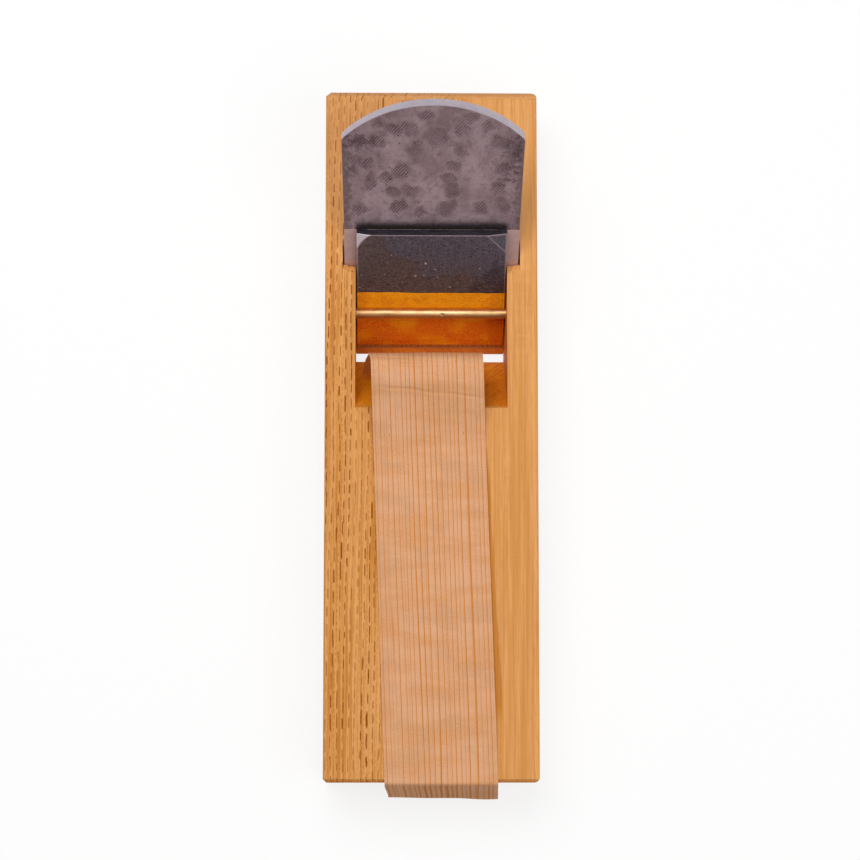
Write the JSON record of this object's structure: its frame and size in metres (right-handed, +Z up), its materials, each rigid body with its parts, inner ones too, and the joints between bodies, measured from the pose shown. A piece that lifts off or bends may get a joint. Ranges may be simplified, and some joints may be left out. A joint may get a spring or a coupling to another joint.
{
  "type": "japanese kanna plane",
  "caption": "Oak-bodied hand plane with a laminated steel blade and chipbreaker wedged under a cross pin, with a paper strip and a long curled shaving.",
  "frame": {"origin": "centre of the sole, under the middle of the body's length and width", "axes": "+Z up from the sole, +Y along the body to its rear end, where the blade's head is, +X to the right when looking along +Y"},
  "size_m": [0.084, 0.2802, 0.0866],
  "materials": {
    "oak": "planed white oak with dark pore lines, waxed satin",
    "hammered_iron": "hammered soft iron with filed dimples, dull purple grey",
    "hard_steel": "ground and polished hard steel",
    "dark_iron": "dark oiled iron, semi gloss",
    "pin_brass": "drawn rod, polished",
    "orange_paper": "thin waxed rust-preventive paper, bare",
    "shaving_wood": "thin straight-grained softwood shaving"
  },
  "bodies": {
    "body": {"dai_body": "oak", "press_pin": "pin_brass", "wood_shaving": "shaving_wood"},
    "blade": {"blade_iron": "hammered_iron", "blade_steel": "hard_steel"},
    "chipbreaker": {"chipbreaker_iron": "dark_iron", "chipbreaker_steel": "hard_steel", "rust_paper": "orange_paper"}
  },
  "joints": [
    {"name": "blade_slide", "type": "slide", "parent": "body", "child": "blade", "axis": [0, 0.7071, 0.7071], "range_m": [0, 0.045]},
    {"name": "chipbreaker_slide", "type": "slide", "parent": "blade", "child": "chipbreaker", "axis": [0, 0.6884, 0.7254], "range_m": [-0.0026, 0.022]}
  ]
}
